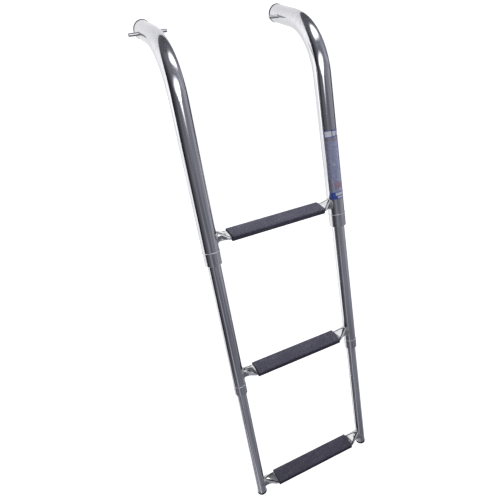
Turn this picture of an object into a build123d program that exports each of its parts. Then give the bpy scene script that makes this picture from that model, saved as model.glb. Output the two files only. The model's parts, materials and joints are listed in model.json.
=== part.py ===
"""Telescoping over-platform boarding ladder, three treads, polished stainless steel.

The ladder is built in its rail frame: the rails run along Z, the rungs along X, and +Y points at the boat.
Z = 0 is where the upper rail tubes end. Every part is then leaned over and moved into the part's own frame,
where the arms are level, the treads are level, and the origin is midway along the hinge line.
"""

import os
from math import cos, pi, radians, sin

from build123d import *

# Driving dimensions, in millimetres and degrees.
RAIL_SPACING = 265.0          # rail axis to rail axis
TREAD_SPACING = 287.0         # tread to tread along the rails
LEAN = 18.0                   # the rails slope out from the boat by this much in use

UPPER_OD = 32.0
MIDDLE_OD = 25.0
LOWER_OD = 20.0
WALL = 1.5                    # every rail tube's wall

UPPER_STRAIGHT = 255.0        # upper tube, from its lower end to the start of the bend
BEND_RADIUS = 112.0           # bend's centreline
ARM_STRAIGHT = 62.0           # straight arm after the bend
PIN_SETBACK = 31.5            # hinge pin's axis from the arm's end

COLLAR_LENGTH = {"upper": 25.0, "middle": 20.0}
COLLAR_OD = {"upper": UPPER_OD, "middle": 26.0}
COLLAR_GAP = 0.4              # radial room between a collar and the tube that slides in it
EDGE = 0.6                    # chamfer that leaves the ring line between a tube and its collar

BUSH_LENGTH = {"upper": 15.0, "middle": 12.0}
BUSH_GAP = 0.1                # radial running clearance of a sliding tube in its bush
GUIDE_HEAD = 8.0              # length of a guide plug's head, which stops on the bush
GUIDE_GAP = 0.2               # radial room between a guide plug's head and the tube around it
GUIDE_SPIGOT = 14.0
GUIDE_DRAIN_R = 4.0
GUIDE_PIN_R = 1.5
GUIDE_PIN_DROP = 7.0          # a guide plug's cross pin, below the tube's top end

PIN_R = 3.0                   # hinge pin's free ends
PIN_SHANK_R = 4.0             # hinge pin's shank, inside the arm
PIN_STUB = 17.5               # length of each free end
PIN_CHAMFER = 0.6

PLUG_FLANGE = 2.6             # end plug's flange, outside the arm
PLUG_SPIGOT = 12.0
FOOT_FLANGE = 5.0
FOOT_SPIGOT = 16.0
FOOT_OD = 21.0
FOOT_RISE = 2.0               # lower tube's end, above where the next rail tube would have ended

STEP_OD = 20.0                # tread bar: a round tube pressed flat between its ends
STEP_WALL = 1.5
STEP_FLAT = 6.5               # thickness of the pressed part
STEP_RISE = 22.0              # tread bar's centre above the end of the tube it is welded to
STEP_DEPTH_SHIFT = -4.5       # the pressed part sits this far in front of the rail axes
TREAD_HALF = 95.0             # half the tread pad's length
TREAD_PAD = 3.0               # pad's wall
TREAD_CORNER = 3.5            # radius of the pad's long edges
FLAT_HALF = 98.0              # half the pressed part's length
PRESS_STATIONS = 5            # sections in the change from round to flat
LEVEL = 15.0                  # turns the pressed part so that treads are level in use

LABEL_LOW = 31.0              # decal on the right upper tube, above its end
LABEL_HIGH = 160.0
LABEL_FILM = 0.15
LABEL_ARC = 160.0             # degrees round the tube
LABEL_FACING = -72.0          # degrees from +X to the middle of the decal

SIDES = {"left": -1, "right": 1}
SECTION_OD = {"upper": UPPER_OD, "middle": MIDDLE_OD, "lower": LOWER_OD}
SECTION_END = {"upper": 0.0, "middle": -TREAD_SPACING, "lower": -2 * TREAD_SPACING + FOOT_RISE}
TREAD_LEVEL = {"upper": STEP_RISE, "middle": STEP_RISE - TREAD_SPACING, "lower": STEP_RISE - 2 * TREAD_SPACING}
HOLDER = {"middle": "upper", "lower": "middle"}

bend_angle = 90.0 - LEAN
bend_end_y = BEND_RADIUS * (1 - cos(radians(bend_angle)))
bend_end_z = UPPER_STRAIGHT + BEND_RADIUS * sin(radians(bend_angle))
arm_y, arm_z = sin(radians(bend_angle)), cos(radians(bend_angle))
arm_end = Vector(0, bend_end_y + ARM_STRAIGHT * arm_y, bend_end_z + ARM_STRAIGHT * arm_z)
hinge = Vector(0, arm_end.Y - PIN_SETBACK * arm_y, arm_end.Z - PIN_SETBACK * arm_z)


def rail_x(side):
    return SIDES[side] * RAIL_SPACING / 2


def along_z(radius, low, high, x=0.0, bore=0.0):
    """Rod or sleeve whose axis is parallel to Z."""
    place = Pos(x, 0, (low + high) / 2)
    rod = place * Cylinder(radius, high - low)
    return rod - place * Cylinder(bore, high - low + 1) if bore else rod


def tube_top(section):
    """Top end of a sliding tube: the guide plug's head rests on the bush of the tube around it."""
    holder = HOLDER[section]
    return SECTION_END[holder] + BUSH_LENGTH[holder]


def arm_frame(side, back=0.0):
    """Plane across an arm, `back` from its end, with +Z along the arm towards its end."""
    origin = Vector(rail_x(side), arm_end.Y - back * arm_y, arm_end.Z - back * arm_z)
    return Plane(origin=origin, x_dir=(1, 0, 0), z_dir=(0, arm_y, arm_z))


def hinge_pin_hole(side, radius):
    """Rod along the hinge line through one arm."""
    return Pos(rail_x(side), hinge.Y, hinge.Z) * Rot(0, 90, 0) * Cylinder(radius, UPPER_OD)


def upper_tube(side):
    """Rail tube with its bend and arm in one piece."""
    x = rail_x(side)
    start = Vector(x, 0, UPPER_STRAIGHT)
    bend_end = Vector(x, bend_end_y, bend_end_z)
    mid = radians(bend_angle / 2)
    bend_mid = Vector(x, BEND_RADIUS * (1 - cos(mid)), UPPER_STRAIGHT + BEND_RADIUS * sin(mid))
    path = Polyline((x, 0, 0), start) + ThreePointArc(start, bend_mid, bend_end)
    path += Polyline(bend_end, Vector(x, arm_end.Y, arm_end.Z))
    ring = Pos(x, 0) * (Circle(UPPER_OD / 2) - Circle(UPPER_OD / 2 - WALL))
    body = sweep(ring, path=path)
    low_edge = body.edges().filter_by(GeomType.CIRCLE).sort_by(Axis.Z)[:2].sort_by(SortBy.RADIUS)[-1]
    body = chamfer(low_edge, EDGE)
    return body - hinge_pin_hole(side, PIN_SHANK_R)


def sliding_tube(section, side):
    """Middle or lower rail tube, with the cross hole for its guide plug's pin."""
    radius = SECTION_OD[section] / 2
    low, high = SECTION_END[section], tube_top(section)
    body = along_z(radius, low, high, rail_x(side), bore=radius - WALL)
    if section == "middle":
        low_edge = body.edges().filter_by(GeomType.CIRCLE).sort_by(Axis.Z)[:2].sort_by(SortBy.RADIUS)[-1]
        body = chamfer(low_edge, EDGE)
    return body - guide_pin(section, side)


def collar(section, side):
    """Steel ring at the lower end of a holding tube."""
    inner = {"upper": MIDDLE_OD, "middle": LOWER_OD}[section] / 2 + COLLAR_GAP
    high = SECTION_END[section]
    body = along_z(COLLAR_OD[section] / 2, high - COLLAR_LENGTH[section], high, rail_x(side), bore=inner)
    return chamfer(body.edges().filter_by(GeomType.CIRCLE), EDGE)


def bush(section, side):
    """Nylon bearing sleeve pressed into a holding tube, just above its collar."""
    inner = {"upper": MIDDLE_OD, "middle": LOWER_OD}[section] / 2 + BUSH_GAP
    low = SECTION_END[section]
    outer = SECTION_OD[section] / 2 - WALL
    return along_z(outer, low, low + BUSH_LENGTH[section], rail_x(side), bore=inner)


def guide_pin(section, side):
    """Cross pin that keeps a guide plug in a sliding tube, flush with the tube."""
    length = SECTION_OD[section] - 0.4
    place = Pos(rail_x(side), 0, tube_top(section) - GUIDE_PIN_DROP) * Rot(90, 0, 0)
    return place * Cylinder(GUIDE_PIN_R, length)


def guide_plug(section, side):
    """Nylon plug in the top of a sliding tube: its head runs in the tube around it and is the end stop."""
    around = SECTION_OD[HOLDER[section]] / 2 - WALL
    top = tube_top(section)
    spigot = along_z(SECTION_OD[section] / 2 - WALL, top - GUIDE_SPIGOT, top, rail_x(side))
    head = along_z(around - GUIDE_GAP, top, top + GUIDE_HEAD, rail_x(side))
    head = chamfer(head.edges().filter_by(GeomType.CIRCLE), EDGE)
    drain = along_z(GUIDE_DRAIN_R, top - GUIDE_SPIGOT - 1, top + GUIDE_HEAD + 1, rail_x(side))
    return spigot + head - drain - guide_pin(section, side)


def hinge_pin(side):
    """Pivot pin across an arm: a shank flush with the arm, and a thinner free end on each side."""
    shank = Cylinder(PIN_SHANK_R, UPPER_OD)
    ends = Cylinder(PIN_R, UPPER_OD + 2 * PIN_STUB)
    tips = ends.edges().filter_by(GeomType.CIRCLE)
    return Pos(rail_x(side), hinge.Y, hinge.Z) * Rot(0, 90, 0) * (shank + chamfer(tips, PIN_CHAMFER))


def arm_plug(side):
    """Plastic plug in the open end of an arm, with a thin domed flange."""
    place = Location(arm_frame(side))
    flange = Pos(0, 0, PLUG_FLANGE / 2) * Cylinder(UPPER_OD / 2, PLUG_FLANGE)
    flange = fillet(flange.edges().filter_by(GeomType.CIRCLE).sort_by(Axis.Z)[-1], PLUG_FLANGE * 0.7)
    spigot = Pos(0, 0, -PLUG_SPIGOT / 2) * Cylinder(UPPER_OD / 2 - WALL, PLUG_SPIGOT)
    recess = Pos(0, 0, -PLUG_SPIGOT / 2 - 1) * Cylinder(UPPER_OD / 2 - WALL - 2, PLUG_SPIGOT)
    return place * (flange + spigot - recess)


def foot(side):
    """Plastic foot plugged into the lower tube, with a rounded sole."""
    end = SECTION_END["lower"]
    flange = along_z(FOOT_OD / 2, end - FOOT_FLANGE, end, rail_x(side))
    sole = flange.edges().filter_by(GeomType.CIRCLE).sort_by(Axis.Z)[0]
    flange = fillet(sole, FOOT_FLANGE * 0.55)
    spigot = along_z(LOWER_OD / 2 - WALL, end, end + FOOT_SPIGOT, rail_x(side))
    recess = along_z(LOWER_OD / 2 - WALL - 2, end + 1, end + FOOT_SPIGOT + 1, rail_x(side))
    return flange + spigot - recess


def pressed_section(x, depth, height, shift):
    """Oval outline of the tread bar at x: two half rounds joined top and bottom by gently bowed sides."""
    round_half = height / 2
    reach = depth / 2 - round_half + round_half * sin(radians(30))
    drop = round_half * cos(radians(30))
    plane = Plane(origin=(x, 0, 0), x_dir=(0, 1, 0), z_dir=(1, 0, 0))
    right = ThreePointArc((reach, -drop), (depth / 2, 0), (reach, drop))
    left = ThreePointArc((-reach, drop), (-depth / 2, 0), (-reach, -drop))
    top = ThreePointArc((reach, drop), (0, round_half), (-reach, drop))
    bottom = ThreePointArc((-reach, -drop), (0, -round_half), (reach, -drop))
    outline = Wire([right, top, left, bottom])
    return plane * Pos(shift, 0) * Face(outline)


def pressed_depth(od, height):
    """Depth of a round tube pressed to that height, with the same outline length."""
    return height + (pi * od - pi * height) / 2


def tread_bar_blank(reach, inset):
    """Solid of the tread bar's outline, `inset` inside its outer skin, from -reach to +reach."""
    flat_depth = pressed_depth(STEP_OD, STEP_FLAT) - 2 * inset
    flat = pressed_section(-FLAT_HALF, flat_depth, STEP_FLAT - 2 * inset, STEP_DEPTH_SHIFT)
    body = extrude(Rot(LEVEL, 0, 0) * flat, amount=2 * FLAT_HALF, dir=(1, 0, 0))
    round_from = RAIL_SPACING / 2 - UPPER_OD / 2
    for sign in (-1, 1):
        sections = []
        for i in range(PRESS_STATIONS):
            share = i / (PRESS_STATIONS - 1)
            ease = share * share * (3 - 2 * share)
            height = STEP_OD + (STEP_FLAT - STEP_OD) * ease
            depth = pressed_depth(STEP_OD, height) - 2 * inset
            x = sign * (round_from + (FLAT_HALF - round_from) * share)
            section = pressed_section(x, depth, height - 2 * inset, STEP_DEPTH_SHIFT * ease)
            sections.append(Rot(LEVEL * ease, 0, 0) * section)
        body += loft(sections)
        end = Cylinder(STEP_OD / 2 - inset, reach - round_from)
        body += Pos(sign * (round_from + reach) / 2, 0, 0) * Rot(0, 90, 0) * end
    return body


def tread_bar(section):
    """Round tube pressed flat between its ends, coped and welded to both rail tubes of its section."""
    reach = RAIL_SPACING / 2
    body = tread_bar_blank(reach, 0.0) - tread_bar_blank(reach + 1, STEP_WALL)
    for side in SIDES:
        body -= along_z(SECTION_OD[section] / 2, -STEP_OD, STEP_OD, rail_x(side))
    return Pos(0, 0, TREAD_LEVEL[section]) * body.solids().sort_by(SortBy.VOLUME)[-1]


def tread_pad(section):
    """Rubber sleeve round the pressed part of a tread bar: flat top and bottom, rounded corners."""
    depth = pressed_depth(STEP_OD, STEP_FLAT)
    plane = Plane(origin=(-TREAD_HALF, 0, 0), x_dir=(0, 1, 0), z_dir=(1, 0, 0))
    outline = RectangleRounded(depth + 2 * TREAD_PAD, STEP_FLAT + 2 * TREAD_PAD, TREAD_CORNER)
    sleeve = extrude(plane * Pos(STEP_DEPTH_SHIFT, 0) * outline, amount=2 * TREAD_HALF)
    hollow = pressed_section(-TREAD_HALF - 1, depth, STEP_FLAT, STEP_DEPTH_SHIFT)
    sleeve -= extrude(hollow, amount=2 * TREAD_HALF + 2, dir=(1, 0, 0))
    return Pos(0, 0, TREAD_LEVEL[section]) * Rot(LEVEL, 0, 0) * sleeve


def label_film():
    """Thin decal wrapped part of the way round the right upper tube."""
    x = rail_x("right")
    low, high = LABEL_LOW, LABEL_HIGH
    film = along_z(UPPER_OD / 2 + LABEL_FILM, low, high, x, bore=UPPER_OD / 2)
    half = LABEL_ARC / 2
    reach = 2 * UPPER_OD
    corners = [(0, 0)] + [
        (reach * cos(radians(LABEL_FACING + a)), reach * sin(radians(LABEL_FACING + a)))
        for a in (-half, -half / 2, 0, half / 2, half)
    ]
    wedge = extrude(Pos(x, 0, low) * make_face(Polyline(*corners, close=True)), amount=high - low)
    return film & wedge


def to_part_frame(shape):
    """From the rail frame to the part's frame: origin on the hinge line, arms and treads level."""
    return Rot(-LEAN, 0, 0) * Pos(0, -hinge.Y, -hinge.Z) * shape


def write(name, *shapes):
    moved = [to_part_frame(s) for s in shapes]
    solids = [solid for shape in moved for solid in shape.solids()]
    whole = solids[0] if len(solids) == 1 else Compound(children=solids)
    export_step(whole, f"parts/{name}.step")


os.makedirs("parts", exist_ok=True)

for side in SIDES:
    write(f"{side}_upper_tube", upper_tube(side))
    write(f"{side}_hinge_pin", hinge_pin(side))
    write(f"{side}_arm_plug", arm_plug(side))
    write(f"{side}_foot", foot(side))
    for holding in ("upper", "middle"):
        write(f"{side}_{holding}_collar", collar(holding, side))
        write(f"{side}_{holding}_bush", bush(holding, side))
    for sliding in ("middle", "lower"):
        write(f"{side}_{sliding}_tube", sliding_tube(sliding, side))
        write(f"{side}_{sliding}_guide", guide_plug(sliding, side))

for sliding in ("middle", "lower"):
    write(f"{sliding}_guide_pins", *[guide_pin(sliding, side) for side in SIDES])

for section in SECTION_OD:
    write(f"{section}_tread_bar", tread_bar(section))
    write(f"{section}_tread_pad", tread_pad(section))

write("label_film", label_film())
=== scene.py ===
"""Studio scene of the telescoping boarding ladder: polished tubes, rubber-sleeved treads, white sweep."""

import json
from math import atan2, cos, pi, radians, sin, sqrt

import bpy
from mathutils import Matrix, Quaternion, Vector, noise


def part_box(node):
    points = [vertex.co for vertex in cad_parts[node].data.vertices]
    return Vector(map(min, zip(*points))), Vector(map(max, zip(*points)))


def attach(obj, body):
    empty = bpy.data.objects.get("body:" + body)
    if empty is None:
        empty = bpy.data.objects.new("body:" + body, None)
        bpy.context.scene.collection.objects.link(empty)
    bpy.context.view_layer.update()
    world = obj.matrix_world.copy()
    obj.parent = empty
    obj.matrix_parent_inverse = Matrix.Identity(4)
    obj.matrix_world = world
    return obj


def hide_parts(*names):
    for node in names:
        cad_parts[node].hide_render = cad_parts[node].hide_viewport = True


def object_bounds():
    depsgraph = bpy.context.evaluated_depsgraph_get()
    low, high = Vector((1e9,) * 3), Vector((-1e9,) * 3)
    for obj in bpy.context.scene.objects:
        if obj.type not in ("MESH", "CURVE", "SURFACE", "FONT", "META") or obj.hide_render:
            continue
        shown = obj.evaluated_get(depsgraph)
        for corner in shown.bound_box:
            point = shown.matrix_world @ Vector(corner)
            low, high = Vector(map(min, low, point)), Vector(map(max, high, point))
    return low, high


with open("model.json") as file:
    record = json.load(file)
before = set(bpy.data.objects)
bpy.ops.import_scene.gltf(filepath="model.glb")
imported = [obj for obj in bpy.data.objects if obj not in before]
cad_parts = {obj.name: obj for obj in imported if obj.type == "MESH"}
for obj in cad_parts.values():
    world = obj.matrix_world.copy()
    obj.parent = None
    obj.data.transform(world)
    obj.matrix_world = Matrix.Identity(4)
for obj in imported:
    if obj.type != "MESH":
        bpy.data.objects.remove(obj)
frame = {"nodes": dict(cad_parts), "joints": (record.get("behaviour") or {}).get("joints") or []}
cad_low, cad_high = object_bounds()

# ---------------------------------------------------------------------------
# Driving values, in metres and degrees. The pieces' places come from the frame.
# ---------------------------------------------------------------------------
MM = 0.001
ACROSS = Vector((1.0, 0.0, 0.0))                        # along the treads
UP = Vector(frame["joints"][0]["axis"]).normalized()    # along the rails
REAR = UP.cross(ACROSS)                                 # square to both, towards the boat
LEAN = atan2(UP.y, UP.z)
TREAD_TURN = radians(15.0) - LEAN                       # treads' slope, as part.py turns them
TREAD_REAR = Vector((0.0, cos(TREAD_TURN), sin(TREAD_TURN)))
TREAD_UP = ACROSS.cross(TREAD_REAR)
TREAD_RISE = 22 * MM                                    # tread bar's axis above its rail tube's end
TREAD_BAR_R = 10 * MM

SIDES = {"left": -1, "right": 1}
RAIL_R = {"upper": 16 * MM, "middle": 12.5 * MM, "lower": 10 * MM}
COLLARED = ("upper", "middle")

BEND_RADIUS = 112 * MM                                  # of the upper tubes, as part.py bends them

# Where the ends of a tread bar are creased. The dark crease lines and the darker metal outside them are
# painted shade; the pale line beside each crease is a painted highlight.
CREASE_START = 97 * MM        # close to the pressed flat's corners, from the ladder's middle
CREASE_SPREAD = 12.5 * MM     # of the two creases there, to either side of the pad's middle
CREASE_MEET = 3.5 * MM        # where they meet at the rail, behind the pad's middle
CREASE_SHADE_WIDE = 1.7 * MM
RIDGE_HIGHLIGHT_OUT = 3.1 * MM          # a painted highlight runs beside each crease, this far outside it
RIDGE_HIGHLIGHT_WIDE = 1.7 * MM
FLANK_SHADE_FADE = 1.5 * MM         # over this much the metal outside a crease darkens with painted shade

# Colours, as linear red, green and blue
STEEL, STEEL_BRIGHT = (0.45, 0.45, 0.48), (0.85, 0.85, 0.86)
PIN, PIN_BRIGHT = (0.44, 0.44, 0.46), (0.58, 0.58, 0.59)
BAR, BAR_BRIGHT = (0.74, 0.74, 0.75), (0.86, 0.86, 0.86)
# Painted light on the tread bars' creased ends: shade on the flanks, a highlight beside each crease, shade in
# the creases
BAR_FLANK_SHADE, BAR_RIDGE_HIGHLIGHT, BAR_CREASE_SHADE = (0.40, 0.40, 0.41), (0.97, 0.97, 0.97), (0.02, 0.02, 0.022)
WELD, WELD_STRAW, WELD_BLUE = (0.66, 0.65, 0.64), (0.64, 0.58, 0.48), (0.40, 0.42, 0.50)
SEAM, SEAM_BRIGHT = (0.82, 0.82, 0.82), (0.95, 0.95, 0.94)
RUBBER, RUBBER_BLOOM = (0.236, 0.230, 0.298), (0.336, 0.327, 0.42)
RUBBER_FLECK, RUBBER_SCUFF, RUBBER_PIT = (0.115, 0.112, 0.147), (0.20, 0.195, 0.235), (0.046, 0.045, 0.058)
RUBBER_LOW = (0.03, 0.03, 0.04)             # mixed in more the lower a pad is
# painted shade on the pads' rounded edges and on their sides
RUBBER_EDGE_SHADE, RUBBER_WALL_SHADE = (0.012, 0.012, 0.016), (0.020, 0.020, 0.026)
PLASTIC, PLASTIC_SCUFF = (0.014, 0.014, 0.016), (0.05, 0.05, 0.055)
NYLON, NYLON_MARK = (0.72, 0.72, 0.66), (0.80, 0.80, 0.75)
LABEL, LABEL_PALE, LABEL_WHITE = (0.56, 0.60, 0.82), (0.80, 0.83, 0.98), (0.88, 0.90, 0.94)
LABEL_BLUE, LABEL_RED, LABEL_WARM = (0.065, 0.115, 0.46), (0.42, 0.06, 0.045), (0.50, 0.36, 0.30)

# The label's layout: bands between two shares of its height from its low end, and blocks that also lie
# between two angles round the tube, in degrees
BLUE_BANDS = ((0.905, 1.01), (-0.01, 0.108))
BLUISH_BAND = (0.30, 0.905)
WARM_BAND = (0.855, 0.90)
RED_BLOCK = (0.165, 0.255, -30.0, 45.0)
WHITE_BLOCKS = (
    (0.915, 0.990, -56.0, -12.0), (0.918, 0.985, -6.0, 16.0), (0.918, 0.985, 22.0, 56.0),
    (0.056, 0.096, -24.0, 66.0), (0.014, 0.042, -12.0, 66.0),
)
FAINT_BLOCK = (0.50, 0.535, -22.0, -6.0)

CAMERA_PLACE = (-0.3247, -0.8185, 0.1482)
CAMERA_TURN = (53.212, 2.061, -25.489)
CAMERA_LENS = 31.875
CAMERA_SENSOR = 36.0

# What the polished tubes see in front of them. Each pair is an angle round from the swimmer's side, in
# degrees, and a brightness. On the left, LOW is for sight lines that fall steeply. On the right, LOW is for
# falling ones, LEVEL for nearly level ones and the plain name for rising ones.
ROOM_LEFT = ((0, 0.215), (35, 0.215), (50, 0.14), (62, 0.10), (73, 0.055), (88, 0.024), (180, 0.04))
ROOM_LOW_LEFT = (
    (0, 0.24), (22, 0.30), (36, 0.62), (50, 0.20), (64, 0.60),
    (78, 0.30), (92, 0.04), (114, 0.05), (132, 0.25), (150, 1.0),
)
ROOM_RIGHT = (
    (0, 0.205), (45, 0.26), (60, 0.40), (75, 0.48),
    (92, 0.30), (105, 0.33), (120, 0.20), (135, 0.10),
)
ROOM_LEVEL_RIGHT = (
    (0, 0.205), (42, 0.22), (50, 0.28), (58, 0.20), (66, 0.38), (76, 0.48),
    (84, 0.30), (94, 0.11), (125, 0.07), (140, 0.10), (150, 0.50),
)
ROOM_LOW_RIGHT = (
    (0, 0.205), (46, 0.20), (60, 0.28), (72, 0.42), (82, 0.40),
    (92, 0.13), (104, 0.13), (114, 0.80), (130, 1.10),
)

# The tilts, in degrees, between which one part of the room goes over into the next
LEFT_LOW_TILT = (-38.0, -29.0)
RIGHT_LOW_TILT = (-20.0, -13.0)
RIGHT_LEVEL_TILT = (-3.0, 5.0)
OVERHEAD_TILT = (28.0, 75.0)
SIDES_MEET = (-0.03, 0.03)                  # left and right meet over this much of the sight line's x

GLINT = 0.28                                # a paler strip in the room's left part
GLINT_RISE, GLINT_FALL = (24.0, 32.0), (34.0, 43.0)
GLINT_TILT = (8.0, -20.0)                   # it grows from nothing to full between these
CEILING = (0.22, 0.12)                      # brightness overhead, in front and behind
CEILING_TURN = (60.0, 130.0)
GLOW = 0.12                                 # a small pale patch on the right
GLOW_PLACE = (-50.0, -8.0)                  # its azimuth and elevation
GLOW_REACH = (4.0, 13.0)

SWEEP_MIDDLE, SWEEP_REACH = 161.0, 60.5     # the white sweep behind the ladder, as an angle round and a reach
SWEEP_EDGE = 0.7                            # half the width of its soft edge
SWEEP_SQUASH = 1.02                         # heights count this many times over, so it reaches less far up
SWEEP_BRIGHTEST = (105.0, 0.0)              # azimuth and elevation where it is brightest
SWEEP_LEVELS = ((0, 1.42), (25, 1.34), (50, 1.06), (75, 0.95), (180, 0.92))     # by the angle away from there

ROOM_TINT, SWEEP_TINT = (0.98, 0.985, 1.15), (1.0, 1.0, 1.02)
TINT_LEVELS = (0.3, 0.9)                    # brightness at which one tint goes over into the other

# The two lamps. even is the share of a lamp's reach that is at full radiance, roll is in degrees, and foot
# is how wide a lamp's low end is, as a share of its width.
LAMPS = {
    "front_softbox": {
        "place": (-0.092, -0.614, 0.235), "target": (0.0, -0.147, -0.062), "size": (1.10, 0.57),
        "radiance": 3.2, "even": 0.25, "roll": 12.0, "foot": 0.05,
    },
    "side_softbox": {
        "place": (0.265, -0.141, 0.514), "target": (0.0, -0.115, -0.017), "size": (0.92, 0.34),
        "radiance": 3.2, "even": 0.22, "roll": -65.0, "foot": 1.0,
    },
}

FLOOR_DROP = 0.35              # the ladder hangs this far above the floor
FLOOR_SIZE = 30.0
FLOOR_GLOW = 0.86


# ---------------------------------------------------------------------------
# Reading the frame
# ---------------------------------------------------------------------------
def extent(node, axis):
    """Lowest and highest reach of a CAD node along an axis."""
    reach = [v.co.dot(axis) for v in frame["nodes"][node].data.vertices]
    return min(reach), max(reach)


def middle(node):
    low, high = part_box(node)
    return (low + high) / 2


def on_rail(side, height):
    """The point on a rail's axis at that height along UP."""
    point = middle(f"{side}_upper_collar")
    return point + UP * (height - point.dot(UP))


def bend_middle():
    """The line that the upper tubes bend round, which lies a bend radius under the level arms."""
    rail = on_rail("left", 0.0)
    y = (rail.dot(REAR) + BEND_RADIUS - UP.y * BEND_RADIUS) / UP.z
    return Vector((0.0, y, -BEND_RADIUS))


def tread_height(section):
    """Height along UP of a tread bar's axis."""
    if section == "lower":      # the lower tubes are cut shorter, so this tread is placed from the upper one
        step = middle("lower_tread_bar") - middle("upper_tread_bar")
        return tread_height("upper") + step.dot(UP)
    return extent(f"left_{section}_tube", UP)[0] + TREAD_RISE


def direction(azimuth, elevation):
    """Unit vector: azimuth turns from the swimmer's side (-Y) towards -X. Both are in degrees."""
    a, e = radians(azimuth), radians(elevation)
    return Vector((-sin(a) * cos(e), -cos(a) * cos(e), sin(e)))


# ---------------------------------------------------------------------------
# Node and mesh helpers
# ---------------------------------------------------------------------------
class Nodes:
    """A short way to write a node tree."""

    def __init__(self, tree):
        self.tree = tree
        tree.nodes.clear()

    def add(self, kind, inputs=None, **settings):
        node = self.tree.nodes.new(kind)
        for name, value in settings.items():
            setattr(node, name, value)
        for name, value in (inputs or {}).items():
            if isinstance(value, bpy.types.NodeSocket):
                self.tree.links.new(value, node.inputs[name])
            else:
                node.inputs[name].default_value = value
        return node

    def math(self, operation, a, b=0.0, c=0.0, clamp=False):
        node = self.add("ShaderNodeMath", {0: a, 1: b, 2: c}, operation=operation, use_clamp=clamp)
        return node.outputs[0]

    def ramp(self, value, low, high, out_low=0.0, out_high=1.0, smooth=True):
        kind = "SMOOTHSTEP" if smooth else "LINEAR"
        sockets = {"Value": value, "From Min": low, "From Max": high, "To Min": out_low, "To Max": out_high}
        return self.add("ShaderNodeMapRange", sockets, interpolation_type=kind).outputs["Result"]

    def mix(self, factor, a, b):
        node = self.add("ShaderNodeMix", data_type="RGBA")
        for slot, value in ((0, factor), (6, a), (7, b)):
            if isinstance(value, bpy.types.NodeSocket):
                self.tree.links.new(value, node.inputs[slot])
            else:
                node.inputs[slot].default_value = value if slot == 0 else (*value, 1.0)
        return node.outputs[2]

    def noise(self, vector, scale, detail=2.0, roughness=0.5):
        sockets = {"Vector": vector, "Scale": scale, "Detail": detail, "Roughness": roughness}
        return self.add("ShaderNodeTexNoise", sockets).outputs["Fac"]

    def bump(self, height, strength, distance, normal=None):
        sockets = {"Height": height, "Strength": strength, "Distance": distance}
        if normal is not None:
            sockets["Normal"] = normal
        return self.add("ShaderNodeBump", sockets).outputs["Normal"]

    def dot(self, vector, axis):
        node = self.add("ShaderNodeVectorMath", {0: vector, 1: axis}, operation="DOT_PRODUCT")
        return node.outputs["Value"]

    def separate(self, vector):
        return self.add("ShaderNodeSeparateXYZ", {"Vector": vector}).outputs

    def upward(self):
        """How squarely the surface faces up from a tread, from -1 to 1."""
        return self.dot(self.add("ShaderNodeNewGeometry").outputs["Normal"], TREAD_UP)

    def away(self, vector, azimuth, elevation):
        """Angle between a unit vector and a direction, in degrees."""
        return self.math("DEGREES", self.math("ARCCOSINE", self.dot(vector, direction(azimuth, elevation))))

    def levels(self, angle, stops):
        """Brightness that follows an angle in degrees through the stops."""
        ramp = self.add("ShaderNodeValToRGB", {"Fac": self.math("DIVIDE", angle, 180.0)})
        while len(ramp.color_ramp.elements) < len(stops):
            ramp.color_ramp.elements.new(0.5)
        for element, (at, value) in zip(ramp.color_ramp.elements, stops):
            element.position = at / 180.0
            element.color = (value, value, value, 1.0)
        return self.add("ShaderNodeSeparateColor", {"Color": ramp.outputs["Color"]}).outputs[0]

    def blend(self, factor, a, b):
        """The number a where factor is 0, and b where it is 1."""
        return self.math("MULTIPLY_ADD", self.math("SUBTRACT", b, a), factor, a)

    def object_place(self):
        return self.add("ShaderNodeTexCoord").outputs["Object"]

    def rail_coordinates(self, origin=Vector()):
        """Coordinates along the rails: z up a rail, x along the treads, measured from origin."""
        place = self.object_place()
        shifted = self.add("ShaderNodeVectorMath", {0: place, 1: origin}, operation="SUBTRACT").outputs[0]
        turned = self.add("ShaderNodeMapping", {"Vector": shifted, "Rotation": (LEAN, 0.0, 0.0)})
        return turned.outputs["Vector"]

    def tube_direction(self):
        """Which way the rail tube runs: along the rails, then round the bend into the arm."""
        x, y, z = self.separate(self.rail_coordinates(bend_middle()))
        turn = self.math("ARCTAN2", self.math("MAXIMUM", z, 0.0), self.math("MULTIPLY", y, -1.0))
        turn = self.math("ADD", self.math("MINIMUM", turn, pi / 2 - LEAN), LEAN)
        run = {0: 0.0, 1: self.math("SINE", turn), 2: self.math("COSINE", turn)}
        return self.to_world(self.add("ShaderNodeCombineXYZ", run).outputs[0])

    def to_world(self, vector):
        sides = {"vector_type": "VECTOR", "convert_from": "OBJECT", "convert_to": "WORLD"}
        return self.add("ShaderNodeVectorTransform", {"Vector": vector}, **sides).outputs[0]

    def scaled(self, vector, x, y, z):
        node = self.add("ShaderNodeVectorMath", {0: vector, 1: (x, y, z)}, operation="MULTIPLY")
        return node.outputs[0]


def new_material(name):
    """A material with an empty tree, its helper and its surface shader."""
    material = bpy.data.materials.new(name)
    material.use_nodes = True
    nodes = Nodes(material.node_tree)
    shader = nodes.add("ShaderNodeBsdfPrincipled")
    nodes.add("ShaderNodeOutputMaterial", {"Surface": shader.outputs["BSDF"]})
    return material, nodes, shader


def set_inputs(nodes, shader, **values):
    """Sets or links inputs of a shader; an underscore stands for a space."""
    for name, value in values.items():
        socket = shader.inputs[name.replace("_", " ")]
        if isinstance(value, bpy.types.NodeSocket):
            nodes.tree.links.new(value, socket)
        else:
            socket.default_value = value


def mesh_object(name, points, faces, material, smooth=True):
    mesh = bpy.data.meshes.new(name)
    mesh.from_pydata(points, [], faces)
    mesh.polygons.foreach_set("use_smooth", [smooth] * len(mesh.polygons))
    mesh.materials.append(material)
    mesh.update()
    piece = bpy.data.objects.new(name, mesh)
    bpy.context.scene.collection.objects.link(piece)
    return piece


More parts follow.
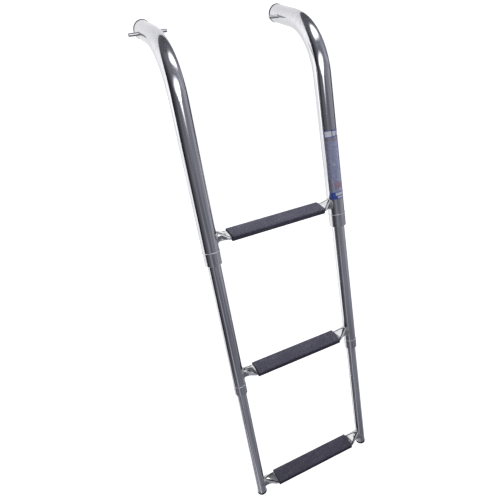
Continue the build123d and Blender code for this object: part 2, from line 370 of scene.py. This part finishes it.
def closed_grid(rows):
    """Points and faces of a ring of rows, each a ring of points, as a torus is."""
    across, along = len(rows), len(rows[0])
    points = [point for row in rows for point in row]
    faces = []
    for i in range(across):
        for j in range(along):
            a, b = i * along, (i + 1) % across * along
            k = (j + 1) % along
            faces.append((a + j, b + j, b + k, a + k))
    return points, faces


# ---------------------------------------------------------------------------
# Materials
# ---------------------------------------------------------------------------
def polished_steel(name, tint=STEEL, bright=STEEL_BRIGHT, rough=0.09, worn=0.06):
    """Polished stainless tube: faint drawn lines, smears, hairline scratches and a few specks."""
    material, nodes, shader = new_material(name)
    place = nodes.rail_coordinates()
    drawn = nodes.noise(nodes.scaled(place, 230.0, 230.0, 4.0), 1.0, 3.0, 0.7)
    smears = nodes.noise(nodes.scaled(place, 45.0, 45.0, 12.0), 1.0, 4.0, 0.62)
    specks = nodes.ramp(nodes.noise(place, 420.0, 1.0, 0.5), 0.72, 0.76)
    slanted = nodes.add("ShaderNodeMapping", {"Vector": place, "Rotation": (0.35, 0.2, 0.5)}).outputs[0]
    scratch_noise = nodes.noise(nodes.scaled(slanted, 900.0, 900.0, 9.0), 1.0, 1.0, 0.5)
    scratches = nodes.ramp(scratch_noise, 0.70, 0.74)
    haze = nodes.math("MULTIPLY_ADD", nodes.ramp(smears, 0.42, 0.75), worn, rough)
    haze = nodes.math("MULTIPLY_ADD", specks, 0.20, haze)
    haze = nodes.math("MULTIPLY_ADD", scratches, 0.12, haze)
    above = nodes.separate(nodes.rail_coordinates(bend_middle()))["Z"]
    straight = nodes.ramp(above, -0.01, 0.05, 1.0, 0.15)        # the drawn lines fade out round the bend
    drawn = nodes.math("MULTIPLY_ADD", nodes.math("SUBTRACT", drawn, 0.5), straight, 0.5)
    shade = nodes.ramp(drawn, 0.42, 0.58, smooth=False)
    tone = nodes.math("MULTIPLY_ADD", shade, 0.75, nodes.math("MULTIPLY", smears, 0.25))
    colour = nodes.mix(tone, tint, bright)
    normal = nodes.bump(nodes.math("MULTIPLY_ADD", smears, 0.5, drawn), 1.0, 0.09 * MM)
    normal = nodes.bump(nodes.math("ADD", specks, scratches), 0.25, -0.04 * MM, normal)
    set_inputs(nodes, shader, Base_Color=colour, Metallic=1.0, Roughness=haze, Normal=normal)
    set_inputs(nodes, shader, Anisotropic=0.4, Tangent=nodes.tube_direction())
    return material


def crease_masks(nodes, section, place):
    """Where a tread bar's ends are creased, as masks of painted light: the lines of painted shade, the
    painted highlights beside them, and the flanks of painted shade.

    Two creases run over each end, from the corners of the pressed flat to one point at the rail.
    """
    pad_front, pad_rear = extent(f"{section}_tread_pad", TREAD_REAR)
    depth = nodes.math("SUBTRACT", nodes.dot(place, TREAD_REAR), (pad_front + pad_rear) / 2)
    across = nodes.math("ABSOLUTE", nodes.separate(place)["X"])
    rail = on_rail("right", 0.0).x - RAIL_R[section]
    run = nodes.ramp(across, CREASE_START, rail, smooth=False)
    front = nodes.math("MULTIPLY_ADD", run, CREASE_MEET + CREASE_SPREAD, -CREASE_SPREAD)
    rear = nodes.math("MULTIPLY_ADD", run, CREASE_MEET - CREASE_SPREAD, CREASE_SPREAD)
    within = nodes.math("MINIMUM", nodes.math("SUBTRACT", depth, front), nodes.math("SUBTRACT", rear, depth))
    top_side = nodes.ramp(nodes.upward(), -0.2, 0.1)
    end = nodes.math("MULTIPLY", nodes.ramp(across, CREASE_START - MM, CREASE_START), top_side)
    # painted shade: a dark line along each crease
    line = nodes.ramp(nodes.math("ABSOLUTE", within), 0.3 * CREASE_SHADE_WIDE, CREASE_SHADE_WIDE, 1.0, 0.0)
    # painted highlight: a pale line beside each crease
    beside = nodes.math("ABSOLUTE", nodes.math("ADD", within, RIDGE_HIGHLIGHT_OUT))
    ridge_highlight = nodes.ramp(beside, 0.5 * RIDGE_HIGHLIGHT_WIDE, RIDGE_HIGHLIGHT_WIDE, 1.0, 0.0)
    # painted shade on the flank outside each crease
    flank_shade = nodes.ramp(within, -FLANK_SHADE_FADE, 0.0, 1.0, 0.0)
    return [nodes.math("MULTIPLY", mask, end) for mask in (line, ridge_highlight, flank_shade)]


def tread_steel(section):
    """A pressed tread bar: a satin finish, brushed along the bar, with painted shade in its ends' creases and
    outside them, and a painted highlight beside each crease.
    """
    material, nodes, shader = new_material(f"{section}_tread_steel")
    place = nodes.object_place()
    brushed = nodes.noise(nodes.scaled(place, 12.0, 1500.0, 1500.0), 1.0, 3.0, 0.6)
    clouds = nodes.noise(place, 90.0, 3.0, 0.6)
    colour = nodes.mix(nodes.ramp(clouds, 0.3, 0.7), BAR, BAR_BRIGHT)
    crease, ridge_highlight, flank_shade = crease_masks(nodes, section, place)
    # painted shade on the flanks outside the creases
    colour = nodes.mix(nodes.math("MULTIPLY", flank_shade, 0.75), colour, BAR_FLANK_SHADE)
    # painted highlight beside each crease
    colour = nodes.mix(ridge_highlight, colour, BAR_RIDGE_HIGHLIGHT)
    # painted shade in the creases
    colour = nodes.mix(crease, colour, BAR_CREASE_SHADE)
    # the painted highlight is barely metal, so that it shows pale
    metal = nodes.math("MULTIPLY_ADD", ridge_highlight, -0.85, 1.0)
    haze = nodes.ramp(brushed, 0.3, 0.7, 0.09, 0.18)
    normal = nodes.bump(brushed, 0.5, 0.04 * MM)
    set_inputs(nodes, shader, Base_Color=colour, Metallic=metal, Roughness=haze, Normal=normal)
    return material


def weld_steel():
    """Weld metal: ripples are in the mesh; this adds heat colours and a fine crust."""
    material, nodes, shader = new_material("weld_steel")
    place = nodes.rail_coordinates()
    patches = nodes.noise(place, 260.0, 3.0, 0.6)
    straw = nodes.mix(nodes.ramp(patches, 0.40, 0.70), WELD, WELD_STRAW)
    colour = nodes.mix(nodes.ramp(patches, 0.66, 0.80, 0.0, 0.6), straw, WELD_BLUE)
    grain = nodes.noise(place, 1800.0, 3.0, 0.6)
    haze = nodes.ramp(grain, 0.3, 0.7, 0.12, 0.28)
    normal = nodes.bump(grain, 0.4, 0.1 * MM)
    set_inputs(nodes, shader, Base_Color=colour, Metallic=1.0, Roughness=haze, Normal=normal)
    return material


def seam_steel():
    """The thin ground weld round a collar: bright and satin."""
    material, nodes, shader = new_material("seam_steel")
    grain = nodes.noise(nodes.rail_coordinates(), 1500.0, 3.0, 0.6)
    colour = nodes.mix(grain, SEAM, SEAM_BRIGHT)
    haze = nodes.ramp(grain, 0.3, 0.7, 0.2, 0.35)
    normal = nodes.bump(grain, 0.3, 0.06 * MM)
    set_inputs(nodes, shader, Base_Color=colour, Metallic=0.5, Roughness=haze, Normal=normal)
    return material


def rubber():
    """Matt charcoal rubber: pebbled grain, cloudy bloom and paler scuffs, with painted shade on its rounded
    edges and on its sides.
    """
    material, nodes, shader = new_material("tread_rubber")
    place = nodes.object_place()
    pebbles = nodes.add("ShaderNodeTexVoronoi", {"Vector": place, "Scale": 620.0}).outputs["Distance"]
    grain = nodes.noise(place, 900.0, 4.0, 0.7)
    bloom = nodes.noise(nodes.scaled(place, 24.0, 60.0, 60.0), 1.0, 5.0, 0.62)
    scuffs = nodes.noise(nodes.scaled(place, 90.0, 700.0, 500.0), 1.0, 4.0, 0.7)
    flecks = nodes.noise(place, 420.0, 3.0, 0.7)
    colour = nodes.mix(nodes.ramp(bloom, 0.3, 0.72), RUBBER, RUBBER_BLOOM)
    colour = nodes.mix(nodes.ramp(flecks, 0.38, 0.60, 0.35, 1.0), RUBBER_FLECK, colour)
    height = nodes.separate(place)["Z"]
    darker = nodes.ramp(height, middle("lower_tread_pad").z, middle("upper_tread_pad").z, 0.30, 0.0)
    colour = nodes.mix(darker, colour, RUBBER_LOW)
    colour = nodes.mix(nodes.ramp(scuffs, 0.58, 0.78, 0.0, 0.4), colour, RUBBER_SCUFF)
    colour = nodes.mix(nodes.ramp(grain, 0.36, 0.64, 0.75, 0.0), colour, RUBBER_PIT)
    # painted shade: the pads' rounded edges are darkened
    corners = nodes.ramp(nodes.add("ShaderNodeNewGeometry").outputs["Pointiness"], 0.505, 0.53, 0.0, 0.85)
    colour = nodes.mix(corners, colour, RUBBER_EDGE_SHADE)
    wall_shade = nodes.ramp(nodes.upward(), 0.25, 0.7, 0.55, 0.0)    # painted shade: the sides are darker than the top
    colour = nodes.mix(wall_shade, colour, RUBBER_WALL_SHADE)
    haze = nodes.ramp(bloom, 0.3, 0.7, 0.66, 0.86)
    normal = nodes.bump(nodes.math("MULTIPLY_ADD", grain, 0.8, pebbles), 0.6, 0.6 * MM)
    set_inputs(nodes, shader, Base_Color=colour, Roughness=haze, Normal=normal, Specular_IOR_Level=0.08)
    return material


def black_plastic():
    """Moulded black plastic with a fine spark-eroded grain and scuffed high spots."""
    material, nodes, shader = new_material("black_plastic")
    place = nodes.object_place()
    grain = nodes.noise(place, 2000.0, 3.0, 0.6)
    scuffs = nodes.noise(nodes.scaled(place, 300.0, 300.0, 120.0), 1.0, 4.0, 0.7)
    colour = nodes.mix(nodes.ramp(scuffs, 0.58, 0.75, 0.0, 0.5), PLASTIC, PLASTIC_SCUFF)
    haze = nodes.ramp(scuffs, 0.4, 0.7, 0.55, 0.75)
    set_inputs(nodes, shader, Base_Color=colour, Roughness=haze, Normal=nodes.bump(grain, 0.35, 0.12 * MM))
    set_inputs(nodes, shader, Specular_IOR_Level=0.05)
    return material


def nylon():
    """Natural nylon, a little see-through, with turning marks."""
    material, nodes, shader = new_material("nylon")
    place = nodes.rail_coordinates()
    marks = nodes.noise(nodes.scaled(place, 60.0, 60.0, 1500.0), 1.0, 2.0, 0.5)
    colour = nodes.mix(marks, NYLON, NYLON_MARK)
    set_inputs(nodes, shader, Base_Color=colour, Roughness=0.42, Normal=nodes.bump(marks, 0.3, 0.1 * MM))
    set_inputs(nodes, shader, Subsurface_Weight=0.1, Subsurface_Scale=2 * MM)
    return material


def label_film():
    """Printed film: a tinted, see-through body between blue bands, with plain blocks in place of print."""
    material, nodes, shader = new_material("label_film")
    low, high = extent("label_film", UP)
    place = nodes.rail_coordinates(on_rail("right", low))
    x, y, z = nodes.separate(place)
    height = nodes.math("DIVIDE", z, high - low)
    turn = nodes.math("ARCTAN2", x, nodes.math("MULTIPLY", y, -1.0))       # 0 faces the swimmer

    def band(value, start, end, edge=0.004):
        """1 where a value lies between start and end, and 0 elsewhere."""
        rise = nodes.ramp(value, start - edge, start + edge, smooth=False)
        fall = nodes.ramp(value, end - edge, end + edge, smooth=False)
        return nodes.math("SUBTRACT", rise, fall, clamp=True)

    def block(z0, z1, turn0, turn1):
        """A patch between two shares of the label's height and two angles round the tube."""
        across = band(turn, radians(turn0), radians(turn1), 0.02)
        return nodes.math("MULTIPLY", band(height, z0, z1), across)

    def either(*masks):
        total = masks[0]
        for mask in masks[1:]:
            total = nodes.math("MAXIMUM", total, mask)
        return total

    mottle = nodes.ramp(nodes.noise(place, 300.0, 3.0), 0.3, 0.7)
    colour = nodes.mix(mottle, LABEL, LABEL_PALE)
    bluish = nodes.math("MULTIPLY", band(height, *BLUISH_BAND), 0.12)
    blue = nodes.math("MAXIMUM", either(*[band(height, *ends) for ends in BLUE_BANDS]), bluish)
    colour = nodes.mix(blue, colour, LABEL_BLUE)
    rust = nodes.math("MULTIPLY", block(*RED_BLOCK), 0.45)
    colour = nodes.mix(rust, colour, LABEL_RED)
    warm = nodes.math("MULTIPLY", band(height, *WARM_BAND), 0.5)
    colour = nodes.mix(warm, colour, LABEL_WARM)
    faint = nodes.math("MULTIPLY", block(*FAINT_BLOCK), 0.5)
    white = either(*[block(*sides) for sides in WHITE_BLOCKS], faint)
    colour = nodes.mix(white, colour, LABEL_WHITE)
    metal = nodes.math("SUBTRACT", 0.80, nodes.math("MULTIPLY", either(white, blue, rust), 0.65))
    set_inputs(nodes, shader, Base_Color=colour, Metallic=metal, Roughness=0.14)
    set_inputs(nodes, shader, Coat_Weight=0.35, Coat_Roughness=0.05)
    return material


def repaint(names, material):
    """Gives CAD nodes a material in every slot."""
    for name in names:
        for slot in frame["nodes"][name].material_slots:
            slot.material = material


def nodes_ending(*endings):
    return [name for name in frame["nodes"] if name.endswith(endings)]


# ---------------------------------------------------------------------------
# Pieces
# ---------------------------------------------------------------------------
PAD_RING = 96                 # points round a pad
PAD_CORNER = 3.2 * MM
PAD_CROWN = 0.7 * MM          # the top and bottom are this much fuller in the middle
PAD_LIP = 1.2 * MM            # rounding of the pad's ends
PAD_PLAY = 0.25 * MM          # room between the pad and the bar
PAD_MOUTH = 0.3 * MM          # the bore for the bar starts this far in from each end
PAD_BORE_ROW = 6 * MM         # and has a row of points this far in
LIP_STEPS = 6
BODY_STEPS = 90
SWELL = 0.12 * MM             # how uneven the moulding is
SWELL_GRAIN = (60.0, 130.0, 160.0)
BAR_FLAT = 6.5 * MM
BAR_DEPTH = 27.7 * MM


def pad_outline(half_depth, half_height, corner, crown):
    """Ring of points round a pad: upright sides, crowned top and bottom, round corners."""
    flat, wall = half_depth - corner, half_height - corner
    quarter = pi / 2 * corner
    half_way = 2 * wall + quarter + 2 * flat + quarter
    ring = []
    for i in range(PAD_RING):
        s = 2 * half_way * i / PAD_RING
        second_half = s >= half_way
        s = s - half_way if second_half else s
        if s < 2 * wall:
            u, v = half_depth, s - wall
        elif s < 2 * wall + quarter:
            a = (s - 2 * wall) / corner
            u, v = flat + corner * cos(a), wall + corner * sin(a)
        elif s < 2 * wall + quarter + 2 * flat:
            u, v = flat - (s - 2 * wall - quarter), half_height
        else:
            a = pi / 2 + (s - 2 * wall - quarter - 2 * flat) / corner
            u, v = -flat + corner * cos(a), wall + corner * sin(a)
        v *= 1.0 - crown / half_height * min(1.0, abs(u) / half_depth) ** 2
        ring.append((-u, -v) if second_half else (u, v))
    return ring


def tread_pad(section, material):
    """Rubber sleeve on a tread bar: crowned faces, rounded ends, a snug oval opening at each end."""
    node = f"{section}_tread_pad"
    rear_low, rear_high = extent(node, TREAD_REAR)
    up_low, up_high = extent(node, TREAD_UP)
    x_low, x_high = extent(node, ACROSS)
    centre = TREAD_REAR * (rear_low + rear_high) / 2 + TREAD_UP * (up_low + up_high) / 2
    half_depth, half_height = (rear_high - rear_low) / 2, (up_high - up_low) / 2
    half_length = (x_high - x_low) / 2
    outer = pad_outline(half_depth, half_height, PAD_CORNER, PAD_CROWN)
    inner = pad_outline(BAR_DEPTH / 2 + PAD_PLAY, BAR_FLAT / 2 + PAD_PLAY, BAR_FLAT / 2, 0.0)

    def row(x, ring, inset=0.0, wobble=0.0):
        """The ring's points at x, drawn in by inset, with an uneven surface where wobble isn't 0."""
        points = []
        for u, v in ring:
            scale_u = 1.0 - inset / half_depth
            scale_v = 1.0 - inset / half_height
            point = ACROSS * x + centre + TREAD_REAR * u * scale_u + TREAD_UP * v * scale_v
            if wobble:
                grain_x, grain_u, grain_v = SWELL_GRAIN
                seed = Vector((x * grain_x, u * grain_u, v * grain_v + len(section)))
                swell = noise.noise(seed) * wobble - wobble
                point += (TREAD_REAR * u + TREAD_UP * v).normalized() * swell
            points.append(point)
        return points

    def lip(end, step):
        """A row of the rounded end: end is -1 or 1, and step 0 is the outermost."""
        turn = pi / 2 * step / LIP_STEPS
        inset = PAD_LIP * (1 - cos(pi / 2 - turn))
        return row(end * (half_length - PAD_LIP * (1 - sin(turn))), outer, inset, SWELL)

    body = half_length - PAD_LIP
    mouth, inside = half_length - PAD_MOUTH, half_length - PAD_BORE_ROW
    rows = [lip(-1, step) for step in range(LIP_STEPS)]
    rows += [row(-body + 2 * body * i / BODY_STEPS, outer, 0.0, SWELL) for i in range(BODY_STEPS + 1)]
    rows += [lip(1, step) for step in reversed(range(LIP_STEPS))]
    rows += [row(x, inner) for x in (mouth, inside, -inside, -mouth)]
    points, faces = closed_grid(rows)
    pad = mesh_object(f"{section}_pad", points, faces, material)
    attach(pad, f"{section}_section")
    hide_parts(node)
    return pad


BEAD_R = 1.35 * MM
BEAD_SINK = 0.985             # the bead's line lies this share of the bar's radius from its axis
BEAD_RIPPLES = 46
BEAD_RIPPLE, BEAD_UNEVEN = 0.16, 0.12       # how much the bead swells with each ripple, and at random
BEAD_STEPS = 368
BEAD_RING = 10


def weld_bead(section, side, material):
    """Rippled weld round the coped end of a tread bar, where it meets the rail tube."""
    rail = on_rail(side, tread_height(section))
    outward = SIDES[side]
    radius, bar = RAIL_R[section], TREAD_BAR_R * BEAD_SINK
    rows = []
    for i in range(BEAD_STEPS):
        turn = 2 * pi * i / BEAD_STEPS
        depth, rise = bar * cos(turn), bar * sin(turn)
        reach = sqrt(max(radius**2 - depth**2, 0.0))
        core = rail - ACROSS * outward * reach + REAR * depth + UP * rise
        around = REAR * cos(turn) + UP * sin(turn)
        along = (REAR * -sin(turn) + UP * cos(turn)).normalized()
        side_way = along.cross(around)
        ripple = abs(sin(turn * BEAD_RIPPLES / 2))
        uneven = noise.noise(Vector((cos(turn), sin(turn), outward)) * 2.5)
        swell = 1.0 + BEAD_RIPPLE * ripple + BEAD_UNEVEN * uneven
        ring = []
        for j in range(BEAD_RING):
            a = 2 * pi * j / BEAD_RING
            ring.append(core + (around * cos(a) + side_way * sin(a)) * BEAD_R * swell)
        rows.append(ring)
    points, faces = closed_grid(rows)
    bead = mesh_object(f"{side}_{section}_weld", points, faces, material)
    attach(bead, f"{section}_section")
    return bead


SEAM_R = 0.75 * MM
SEAM_UNEVEN = 0.25
SEAM_STEPS = 160
SEAM_RING = 8


def seam_bead(section, side, material):
    """Thin bright weld all round where the collar meets the tube's end."""
    rail = on_rail(side, extent(f"{side}_{section}_collar", UP)[1])
    rows = []
    for i in range(SEAM_STEPS):
        turn = 2 * pi * i / SEAM_STEPS
        around = ACROSS * cos(turn) + REAR * sin(turn)
        uneven = noise.noise(around * 9.0 + Vector((len(side), len(section), 0.0)))
        swell = SEAM_R * (1.0 + SEAM_UNEVEN * uneven)
        core = rail + around * RAIL_R[section]
        ring = []
        for j in range(SEAM_RING):
            a = 2 * pi * j / SEAM_RING
            ring.append(core + (around * cos(a) + UP * sin(a)) * swell)
        rows.append(ring)
    points, faces = closed_grid(rows)
    bead = mesh_object(f"{side}_{section}_seam", points, faces, material)
    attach(bead, f"{section}_section")
    return bead


CAP_R, CAP_THICK, CAP_ROUND = 16.5 * MM, 3.4 * MM, 0.8 * MM     # the plug's flange, outside the arm
CAP_CHAMFER = 0.2 * MM                                          # on the flange's edge next to the arm
DISH_RIM, DISH_SLOPE, DISH_DEEP = 3 * MM, 0.6 * MM, 0.4 * MM    # the shallow dish in its face
PLUG_R, PLUG_DEEP, PLUG_WALL = 14.5 * MM, 12 * MM, 2 * MM       # its hollow part, inside the arm
PLUG_FLOOR = 1 * MM                                             # the hollow ends this far from the flange
CAP_STEPS = 120
CAP_ROUND_STEPS = 6


def plug_profile():
    """Points of a plug's section, as radius and depth out of the arm, from inside the hollow to the dish."""
    bore = PLUG_R - PLUG_WALL
    profile = [(bore * 0.5, -PLUG_FLOOR), (bore, -PLUG_FLOOR), (bore, -PLUG_DEEP), (PLUG_R, -PLUG_DEEP)]
    profile += [(PLUG_R, 0.0), (CAP_R - CAP_CHAMFER, 0.0), (CAP_R, CAP_CHAMFER)]
    for step in range(CAP_ROUND_STEPS + 1):
        turn = pi / 2 * step / CAP_ROUND_STEPS
        profile.append((CAP_R - CAP_ROUND * (1 - cos(turn)), CAP_THICK - CAP_ROUND * (1 - sin(turn))))
    floor_of_dish = CAP_THICK - DISH_DEEP
    profile += [(CAP_R - DISH_RIM, CAP_THICK), (CAP_R - DISH_RIM - DISH_SLOPE, floor_of_dish)]
    return profile + [(CAP_R * 0.4, floor_of_dish)]


def arm_plug(side, material):
    """Moulded plug in the open end of an arm: a rounded flange with a shallow dish, and a hollow spigot."""
    low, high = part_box(f"{side}_arm_plug")
    centre = (low + high) / 2
    end = Vector((centre.x, low.y + PLUG_DEEP, centre.z))
    profile = plug_profile()
    points, faces = [], []
    for i in range(CAP_STEPS):
        turn = 2 * pi * i / CAP_STEPS
        around = ACROSS * cos(turn) + Vector((0.0, 0.0, 1.0)) * sin(turn)
        points += [end + around * radius + Vector((0.0, depth, 0.0)) for radius, depth in profile]
    count = len(profile)
    for i in range(CAP_STEPS):
        a, b = i * count, (i + 1) % CAP_STEPS * count
        faces += [(a + j, a + j + 1, b + j + 1, b + j) for j in range(count - 1)]
    faces.append([i * count for i in range(CAP_STEPS)])
    faces.append([i * count + count - 1 for i in reversed(range(CAP_STEPS))])
    plug = mesh_object(f"{side}_plug", points, faces, material, smooth=False)
    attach(plug, "upper_section")
    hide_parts(f"{side}_arm_plug")
    return plug


# ---------------------------------------------------------------------------
# Studio
# ---------------------------------------------------------------------------
def room_light(nodes, sight):
    """How bright the dim room in front of the ladder is in each direction."""
    x, y, z = nodes.separate(sight)
    level = nodes.math("SQRT", nodes.math("MULTIPLY_ADD", x, x, nodes.math("MULTIPLY", y, y)))
    toward_swimmer = nodes.math("DIVIDE", nodes.math("MULTIPLY", y, -1.0), level)
    turn = nodes.math("DEGREES", nodes.math("ARCCOSINE", toward_swimmer))
    tilt = nodes.math("DEGREES", nodes.math("ARCSINE", z))

    low_left, left = nodes.levels(turn, ROOM_LOW_LEFT), nodes.levels(turn, ROOM_LEFT)
    left = nodes.blend(nodes.ramp(tilt, *LEFT_LOW_TILT), low_left, left)
    glint = nodes.math("MULTIPLY", nodes.ramp(turn, *GLINT_RISE), nodes.ramp(turn, *GLINT_FALL, 1.0, 0.0))
    glint = nodes.math("MULTIPLY", glint, nodes.ramp(tilt, *GLINT_TILT))
    left = nodes.math("MULTIPLY_ADD", glint, GLINT, left)

    low_right, level_right = nodes.levels(turn, ROOM_LOW_RIGHT), nodes.levels(turn, ROOM_LEVEL_RIGHT)
    right = nodes.blend(nodes.ramp(tilt, *RIGHT_LOW_TILT), low_right, level_right)
    right = nodes.blend(nodes.ramp(tilt, *RIGHT_LEVEL_TILT), right, nodes.levels(turn, ROOM_RIGHT))

    room = nodes.blend(nodes.ramp(x, *SIDES_MEET), left, right)
    room = nodes.blend(nodes.ramp(tilt, *OVERHEAD_TILT), room, nodes.ramp(turn, *CEILING_TURN, *CEILING))
    return nodes.math("ADD", room, nodes.ramp(nodes.away(sight, *GLOW_PLACE), *GLOW_REACH, GLOW, 0.0))


def sweep_light(nodes, sight):
    """Where the white sweep behind the ladder is, as a mask, and how bright it is there.

    It is a disc round SWEEP_MIDDLE, squashed upwards, and below the horizon it runs straight down.
    """
    x, y, z = nodes.separate(sight)
    height = nodes.math("MULTIPLY", nodes.math("MAXIMUM", z, 0.0), SWEEP_SQUASH)
    raised = nodes.add("ShaderNodeCombineXYZ", {0: x, 1: y, 2: height}).outputs[0]
    raised = nodes.add("ShaderNodeVectorMath", {0: raised}, operation="NORMALIZE").outputs[0]
    edge = (SWEEP_REACH - SWEEP_EDGE, SWEEP_REACH + SWEEP_EDGE)
    mask = nodes.ramp(nodes.away(raised, SWEEP_MIDDLE, 0.0), *edge, 1.0, 0.0)
    return mask, nodes.levels(nodes.away(sight, *SWEEP_BRIGHTEST), SWEEP_LEVELS)


def studio_world():
    """White to the camera; reflections see a white sweep behind the ladder and a dim room in front."""
    world = bpy.data.worlds.new("studio")
    world.use_nodes = True
    nodes = Nodes(world.node_tree)
    sight = nodes.add("ShaderNodeTexCoord").outputs["Generated"]
    sweep, white = sweep_light(nodes, sight)
    total = nodes.blend(sweep, room_light(nodes, sight), white)
    tint = nodes.mix(nodes.ramp(total, *TINT_LEVELS), ROOM_TINT, SWEEP_TINT)
    lit = nodes.add("ShaderNodeVectorMath", {0: tint, "Scale": total}, operation="SCALE").outputs[0]
    reflected = nodes.add("ShaderNodeBackground", {"Color": lit})
    seen = nodes.add("ShaderNodeBackground", {"Color": (1.0, 1.0, 1.0, 1.0)})
    path = nodes.add("ShaderNodeLightPath").outputs["Is Camera Ray"]
    both = nodes.add("ShaderNodeMixShader", {0: path, 1: reflected.outputs[0], 2: seen.outputs[0]})
    nodes.add("ShaderNodeOutputWorld", {"Surface": both.outputs[0]})
    bpy.context.scene.world = world


def softbox(name, place, target, size, radiance, even, roll, foot):
    """Oval area light facing target, fading from its middle to its rim. foot can narrow its low end."""
    width, height = size
    light = bpy.data.lights.new(name, "AREA")
    light.shape = "ELLIPSE"
    light.size, light.size_y = width, height
    light.energy = radiance * pi * (pi / 4 * width * height)
    light.use_nodes = True
    nodes = Nodes(light.node_tree)
    u, v, _ = nodes.separate(nodes.add("ShaderNodeNewGeometry").outputs["Parametric"])
    u, v = nodes.math("MULTIPLY_ADD", u, 2.0, -1.0), nodes.math("MULTIPLY_ADD", v, 2.0, -1.0)
    u = nodes.math("DIVIDE", u, nodes.ramp(v, -1.0, 0.5, foot, 1.0, smooth=False))
    reach = nodes.math("SQRT", nodes.math("MULTIPLY_ADD", u, u, nodes.math("MULTIPLY", v, v)))
    fade = nodes.ramp(reach, even, 1.0, 1.0, 0.0)
    glow = nodes.add("ShaderNodeEmission", {"Strength": fade})
    nodes.add("ShaderNodeOutputLight", {"Surface": glow.outputs[0]})
    box = bpy.data.objects.new(name, light)
    bpy.context.scene.collection.objects.link(box)
    box.location = place
    facing = (Vector(target) - Vector(place)).to_track_quat("-Z", "Y")
    box.rotation_euler = (facing @ Quaternion((0.0, 0.0, 1.0), radians(roll))).to_euler()
    box.visible_camera = False
    return box


def floor():
    """Pale floor, lit by itself to stay as white as what is behind it. The ladder doesn't reflect it."""
    material, nodes, shader = new_material("studio_floor")
    place = nodes.object_place()
    mottle = nodes.ramp(nodes.noise(place, 3.0, 2.0), 0.3, 0.7, 0.80, 0.82)
    colour = nodes.add("ShaderNodeCombineColor", {0: mottle, 1: mottle, 2: mottle}).outputs[0]
    set_inputs(nodes, shader, Base_Color=colour, Roughness=0.9, Specular_IOR_Level=0.1)
    set_inputs(nodes, shader, Emission_Color=(1.0, 1.0, 1.0, 1.0), Emission_Strength=FLOOR_GLOW)
    half = FLOOR_SIZE / 2
    z = cad_low[2] - FLOOR_DROP
    corners = [(-half, -half, z), (half, -half, z), (half, half, z), (-half, half, z)]
    plane = mesh_object("studio_floor", corners, [(0, 1, 2, 3)], material, smooth=False)
    plane.visible_glossy = False
    plane.visible_diffuse = False


def camera():
    """The camera, at the named place and angle."""
    data = bpy.data.cameras.new("camera")
    data.lens = CAMERA_LENS
    data.sensor_width = CAMERA_SENSOR
    eye = bpy.data.objects.new("camera", data)
    bpy.context.scene.collection.objects.link(eye)
    eye.location = CAMERA_PLACE
    eye.rotation_euler = [radians(angle) for angle in CAMERA_TURN]
    bpy.context.scene.camera = eye


# ---------------------------------------------------------------------------
# Build
# ---------------------------------------------------------------------------
def dress():
    """Materials for the CAD nodes, and the pieces that the CAD leaves to this scene."""
    repaint(nodes_ending("_tube"), polished_steel("polished_steel"))
    repaint(nodes_ending("_collar"), polished_steel("collar_steel", rough=0.15))
    for section in RAIL_R:
        repaint([f"{section}_tread_bar"], tread_steel(section))
    pins = polished_steel("pin_steel", PIN, PIN_BRIGHT, 0.20, 0.12)
    repaint(nodes_ending("_pin", "_pins"), pins)
    repaint(nodes_ending("_bush", "_guide"), nylon())
    plastic = black_plastic()
    repaint(nodes_ending("_foot"), plastic)
    for side in SIDES:
        arm_plug(side, plastic)
    repaint(["label_film"], label_film())
    pads, welds, seams = rubber(), weld_steel(), seam_steel()
    for section in RAIL_R:
        tread_pad(section, pads)
        for side in SIDES:
            weld_bead(section, side, welds)
            if section in COLLARED:
                seam_bead(section, side, seams)


dress()
studio_world()
floor()
for lamp, settings in LAMPS.items():
    softbox(lamp, **settings)
camera()
bpy.context.scene.view_settings.view_transform = "Standard"
